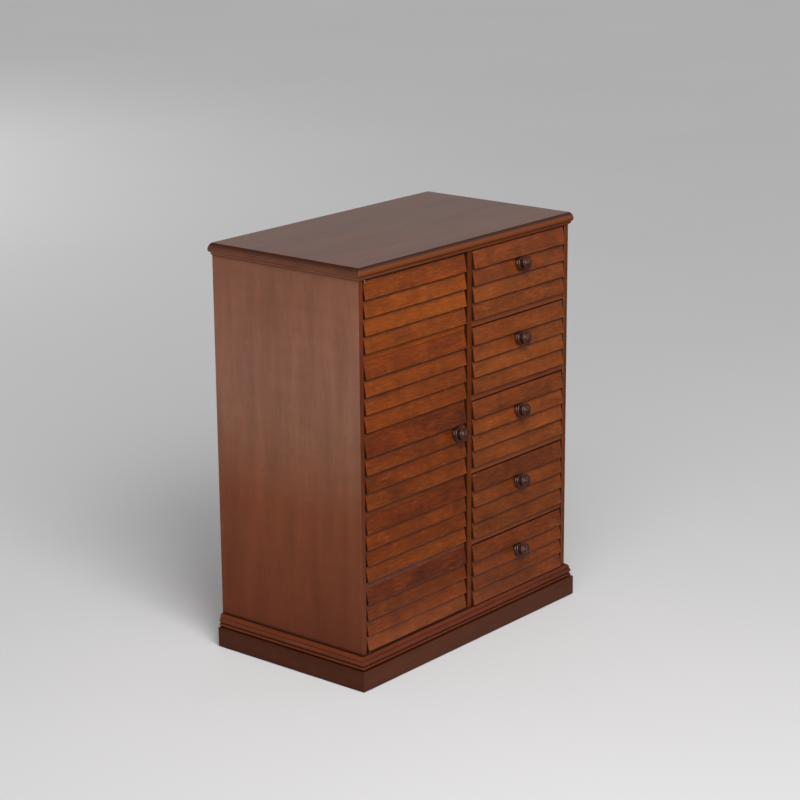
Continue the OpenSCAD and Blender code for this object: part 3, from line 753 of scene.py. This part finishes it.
def dressed(node, body, finish, ease=EASE, seed=0.0, tones=None):
    """A finished piece that stands for one of the construction's."""
    data = eased_mesh(node, ease, seed, tones)
    data.materials.append(finish)
    piece = bpy.data.objects.new(node + "_dressed", data)
    bpy.context.scene.collection.objects.link(piece)
    piece.modifiers.new("weighted_normals", "WEIGHTED_NORMAL").keep_sharp = True
    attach(piece, body)
    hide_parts(node)


# The pieces

def case_pieces():
    """Which slot and finish each board of the case takes."""
    panel = side_panel_wood()
    trim_x = trim_wood("trim_lengthways", "X")
    trim_y = trim_wood("trim_endways", "Y")
    # The bed moulding's colours are painted light, paler still at the ends
    bed_x = bed_wood("bed_moulding_lengthways", "X", (101, 46, 22), (115, 57, 29), (129, 69, 38))
    bed_y = bed_wood("bed_moulding_endways", "Y", (112, 58, 36), (126, 70, 46), (140, 84, 58))
    plinth_x = plinth_wood("plinth_lengthways", "X", shine=0.2)
    plinth_y = plinth_wood("plinth_endways", "Y", shine=0.16)
    inner_x = inner_wood("inner_lengthways", "X")
    inner_y = inner_wood("inner_endways", "Y")
    inner_z = inner_wood("inner_upright", "Z")
    return {
        "top_board": ("top_wood", top_wood()),
        "top_rails": ("inner_wood", inner_x),
        "bed_moulding_front": ("moulding_wood", bed_x),
        "bed_moulding_left": ("moulding_wood", bed_y),
        "bed_moulding_right": ("moulding_wood", bed_y),
        "side_panel_left": ("panel_wood", panel),
        "side_panel_right": ("panel_wood", panel),
        "divider": ("panel_wood", divider_wood()),
        "back_panel": ("inner_wood", inner_z),
        "bottom_board": ("inner_wood", inner_x),
        "drawer_rails": ("rail_wood", rail_wood()),
        "drawer_runners": ("inner_wood", inner_y),
        "drawer_stops": ("inner_wood", inner_x),
        "shelves": ("inner_wood", inner_x),
        "shelf_battens": ("inner_wood", inner_y),
        "plinth_front": ("plinth_wood", plinth_x),
        "plinth_left": ("plinth_wood", plinth_y),
        "plinth_right": ("plinth_wood", plinth_y),
        "plinth_back": ("inner_wood", inner_x),
        "glue_blocks": ("inner_wood", inner_z),
        "base_moulding_front": ("moulding_wood", trim_x),
        "base_moulding_left": ("moulding_wood", trim_y),
        "base_moulding_right": ("moulding_wood", trim_y),
    }


def dress_case():
    for number, (node, (slot, finish)) in enumerate(case_pieces().items()):
        dressed(node, "case", finish, seed=CASE_SEED + number)


def dress_door(board, knob):
    slat = slat_wood("door_slat_lengthways", DOOR_FADING)
    dressed("door_board", "door", board, seed=DOOR_BOARD_SEED)
    dressed("door_slats", "door", slat, seed=DOOR_SLATS_SEED, tones=SLAT_TONES)
    dressed("door_false_rails", "door", slat, seed=FALSE_RAILS_SEED)
    dress_metal(brass("old_brass"))
    dressed("door_knob", "door", knob, ease=FINE_EASE, seed=DOOR_KNOB_SEED)


def dress_metal(metal):
    """The door's pivots, on the case and on the door, and its catch."""
    for node, body in (("case_hinges", "case"), ("door_hinges", "door"), ("door_catch", "door")):
        dressed(node, body, metal, ease=FINE_EASE)


def dress_drawers(board, knob):
    slat = slat_wood("drawer_slat_lengthways", DRAWER_FADING)
    side = drawer_wood("drawer_side_grain", "Y")
    across = drawer_wood("drawer_cross_grain", "X")
    for n in range(1, DRAWERS + 1):
        body = f"drawer_{n}"
        slats_seed = SLATS_SEED + SLATS_SEED_STEP * n
        dressed(f"{body}_front", body, board, seed=FRONT_SEED + n)
        dressed(f"{body}_slats", body, slat, seed=slats_seed, tones=SLAT_TONES)
        dressed(f"{body}_sides", body, side, seed=SIDES_SEED + n)
        dressed(f"{body}_back", body, across, seed=BACK_SEED + n)
        dressed(f"{body}_bottom", body, across, seed=BOTTOM_SEED + n)
        dressed(f"{body}_knob", body, knob, ease=FINE_EASE, seed=KNOB_SEED + n)


def dress_fronts():
    board, knob = front_board_wood(), knob_wood()
    dress_door(board, knob)
    dress_drawers(board, knob)


# Stage

def add_camera():
    """The camera that took the photograph, solved from the cabinet's own edges."""
    forward = Vector((
        math.sin(CAMERA_YAW) * math.cos(CAMERA_PITCH),
        math.cos(CAMERA_YAW) * math.cos(CAMERA_PITCH),
        -math.sin(CAMERA_PITCH),
    ))
    level = Vector((math.cos(CAMERA_YAW), -math.sin(CAMERA_YAW), 0))
    upright = level.cross(forward)
    right = level * math.cos(CAMERA_ROLL) + upright * math.sin(CAMERA_ROLL)
    up = upright * math.cos(CAMERA_ROLL) - level * math.sin(CAMERA_ROLL)
    data = bpy.data.cameras.new("camera")
    data.lens = CAMERA_LENS
    data.sensor_width = CAMERA_SENSOR
    data.clip_end = CAMERA_REACH
    camera = bpy.data.objects.new("camera", data)
    camera.matrix_world = Matrix((
        (right.x, up.x, -forward.x, CAMERA_AT.x),
        (right.y, up.y, -forward.y, CAMERA_AT.y),
        (right.z, up.z, -forward.z, CAMERA_AT.z),
        (0, 0, 0, 1),
    ))
    bpy.context.scene.collection.objects.link(camera)
    bpy.context.scene.camera = camera


def add_floor():
    """A wide disc, so that no view of the cabinet reaches its rim."""
    mesh = bmesh.new()
    bmesh.ops.create_circle(mesh, cap_ends=True, radius=FLOOR_RADIUS, segments=FLOOR_SIDES)
    data = bpy.data.meshes.new("floor")
    mesh.to_mesh(data)
    mesh.free()
    floor = bpy.data.objects.new("floor", data)
    floor.location.z = -FLOOR_DROP
    data.materials.append(floor_finish("pale_floor"))
    bpy.context.scene.collection.objects.link(floor)


def add_lamp(name, at, size, power, aim, spread):
    data = bpy.data.lights.new(name, "AREA")
    data.shape = "RECTANGLE"
    data.size, data.size_y = size
    data.energy = power
    data.spread = math.radians(spread)
    lamp = bpy.data.objects.new(name, data)
    lamp.location = at
    lamp.visible_camera = False
    lamp.rotation_euler = (Vector(aim) - Vector(at)).to_track_quat("-Z", "Y").to_euler()
    bpy.context.scene.collection.objects.link(lamp)


def light_room():
    """A pale room: walls that light evenly, a dim ceiling, and daylight from the front on both
    sides."""
    world = bpy.data.worlds.new("room")
    bpy.context.scene.world = world
    world.use_nodes = True
    graph = Graph(world.node_tree)
    toward = graph.coordinates("Generated")
    upward = graph.component(toward, "Z")
    total = graph.remap(upward, *CEILING_FROM_TO, WALL_LIGHT, CEILING_LIGHT)
    for middle, full, end, strength in WINDOWS:
        nearness = graph.dot(toward, Vector(middle).normalized())
        full_at, end_at = math.cos(math.radians(full)), math.cos(math.radians(end))
        total = graph.plus(total, graph.remap(nearness, end_at, full_at, 0.0, strength))
    background = graph.tree.nodes["Background"]
    background.inputs["Color"].default_value = (1, 1, 1, 1)
    graph.link(total, background.inputs["Strength"])


def light_stage():
    light_room()
    for name, lamp in LAMPS.items():
        add_lamp(name, **lamp)


add_camera()
add_floor()
light_stage()
dress_case()
dress_fronts()

bpy.context.scene.view_settings.view_transform = "Standard"
